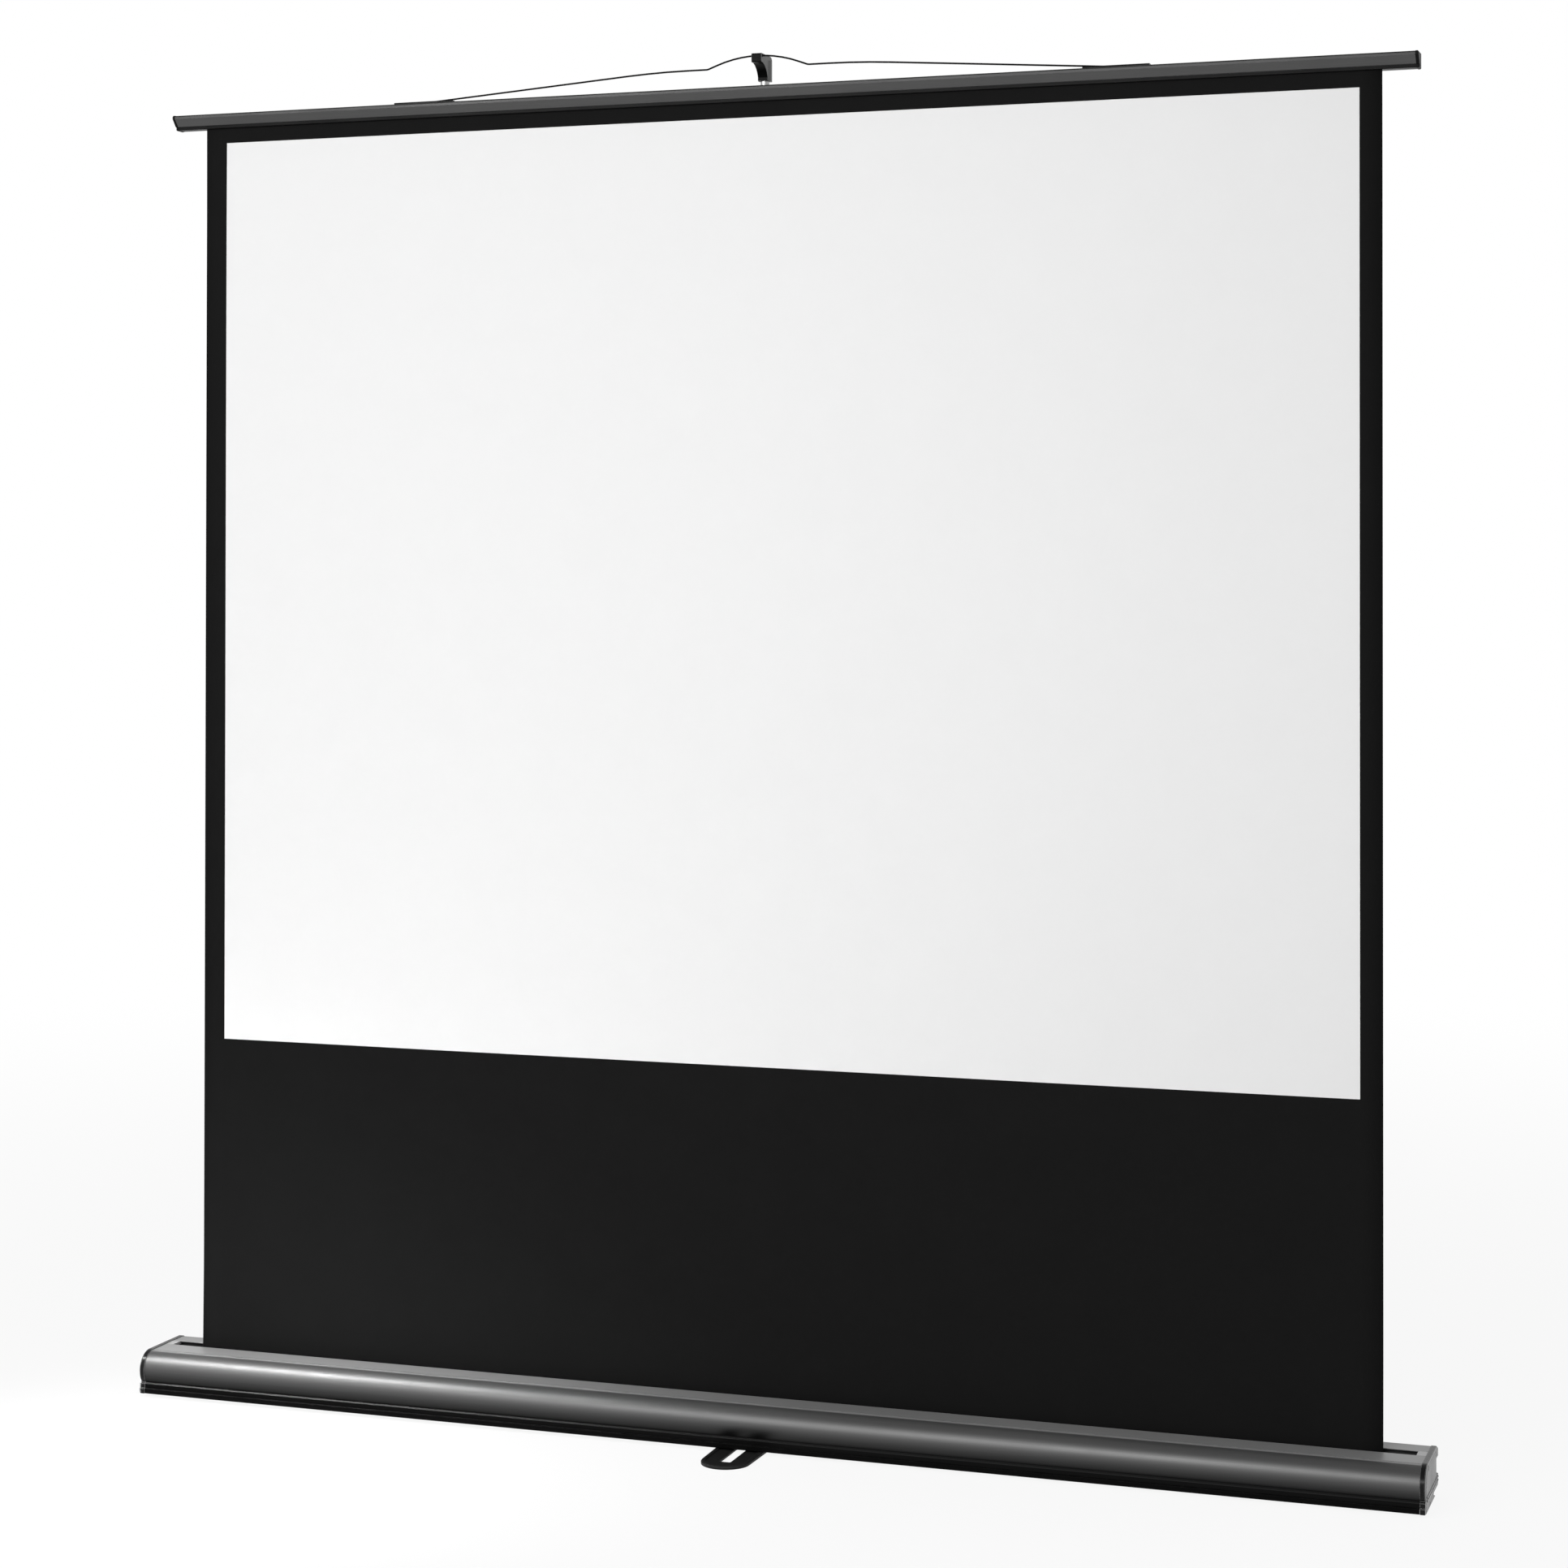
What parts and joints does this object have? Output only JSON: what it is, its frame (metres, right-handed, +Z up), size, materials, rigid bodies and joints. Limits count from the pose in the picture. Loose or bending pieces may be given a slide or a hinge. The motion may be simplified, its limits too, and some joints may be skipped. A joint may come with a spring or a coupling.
{
  "type": "portable projection screen",
  "caption": "Pull-up floor projection screen: white cloth with black border drawn from a spring-roller case, its top rail hung by a wire bow on a telescopic pole.",
  "frame": {"origin": "on the floor at the swivel foot's pivot, the middle of the footprint", "axes": "+X along the case to the viewer's right, +Y to the rear, +Z up"},
  "size_m": [1.7856, 0.253, 1.85],
  "materials": {
    "case_aluminium": "dark satin anodised extrusion",
    "base_black": "black powder coat",
    "cap_plastic": "moulded, fine grain",
    "plug_grey": "moulded, satin",
    "hook_plastic": "moulded, satin",
    "inner_plastic": "natural nylon",
    "rail_aluminium": "dark anodised extrusion",
    "pole_aluminium": "bright drawn tube",
    "roller_steel": "zinc plated",
    "spring_steel": "oiled spring wire",
    "wire_black": "black coated spring wire",
    "screw_steel": "blackened steel",
    "screen_fabric": "matte white coated cloth with a black border"
  },
  "bodies": {
    "case": {"case_shell": "case_aluminium", "base_rail": "base_black", "base_rail_screws": "screw_steel", "left_end_cap": "cap_plastic", "right_end_cap": "cap_plastic", "end_cap_screws": "screw_steel", "left_slot_plug": "plug_grey", "right_slot_plug": "plug_grey", "spring_end_bracket": "roller_steel", "idler_end_bracket": "roller_steel", "bracket_screws": "screw_steel", "spring_shaft": "roller_steel", "roller_spring": "spring_steel", "pole_socket": "hook_plastic", "socket_screws": "screw_steel", "pole_lower_tube": "pole_aluminium", "lower_tube_plug": "inner_plastic", "lower_collet": "inner_plastic", "screen_cloth": "screen_fabric", "foot_pivot_bolt": "screw_steel", "foot_washer": "screw_steel", "foot_lock_nut": "screw_steel"},
    "roller": {"roller_tube": "roller_steel", "cloth_wraps": "screen_fabric", "spring_plug": "inner_plastic", "idler_plug": "inner_plastic", "idler_pin": "roller_steel", "spring_anchor": "inner_plastic"},
    "rail": {"top_rail": "rail_aluminium", "left_rail_cap": "cap_plastic", "right_rail_cap": "cap_plastic", "hem_rod": "roller_steel", "lift_bow": "wire_black", "left_bow_clip": "hook_plastic", "right_bow_clip": "hook_plastic", "bow_clip_screws": "screw_steel"},
    "pole_mid": {"pole_mid_tube": "pole_aluminium", "mid_glide_bush": "inner_plastic", "upper_collet": "inner_plastic"},
    "pole_top": {"pole_top_tube": "pole_aluminium", "top_glide_bush": "inner_plastic", "hook_head": "hook_plastic", "hook_screw": "screw_steel"},
    "lower_collar": {"lower_lock_collar": "hook_plastic"},
    "upper_collar": {"upper_lock_collar": "hook_plastic"},
    "foot": {"swivel_foot": "base_black"},
    "socket_knob": {"socket_thumb_screw": "hook_plastic"}
  },
  "joints": [
    {"name": "rail_slide", "type": "slide", "parent": "case", "child": "rail", "axis": [0, 0, 1], "range_m": [-1.08, 0], "deforming": ["screen_cloth"]},
    {"name": "pole_mid_slide", "type": "slide", "parent": "case", "child": "pole_mid", "axis": [0, 0, 1], "range_m": [-0.54, 0]},
    {"name": "pole_top_slide", "type": "slide", "parent": "pole_mid", "child": "pole_top", "axis": [0, 0, 1], "range_m": [-0.54, 0]},
    {"name": "roller_spin", "type": "hinge", "parent": "case", "child": "roller", "pos_m": [0, 0.00665, 0.037], "axis": [1, 0, 0], "range_deg": [-3760, 0]},
    {"name": "foot_swivel", "type": "hinge", "parent": "case", "child": "foot", "pos_m": [0, 0, 0.003], "axis": [0, 0, 1], "range_deg": [0, 90]},
    {"name": "lower_collar_twist", "type": "hinge", "parent": "case", "child": "lower_collar", "pos_m": [0, 0.0525, 0.667], "axis": [0, 0, 1], "range_deg": [0, 90]},
    {"name": "upper_collar_twist", "type": "hinge", "parent": "pole_mid", "child": "upper_collar", "pos_m": [0, 0.0525, 1.249], "axis": [0, 0, 1], "range_deg": [0, 90]},
    {"name": "socket_knob_turn", "type": "hinge", "parent": "case", "child": "socket_knob", "pos_m": [0, 0.072, 0.042], "axis": [0, 1, 0], "range_deg": [0, 360]}
  ],
  "couplings": [
    {"joint": "pole_mid_slide", "follows": "rail_slide", "ratio": 0.5},
    {"joint": "pole_top_slide", "follows": "rail_slide", "ratio": 0.5},
    {"joint": "roller_spin", "follows": "rail_slide", "rad_per_m": 60.606}
  ]
}
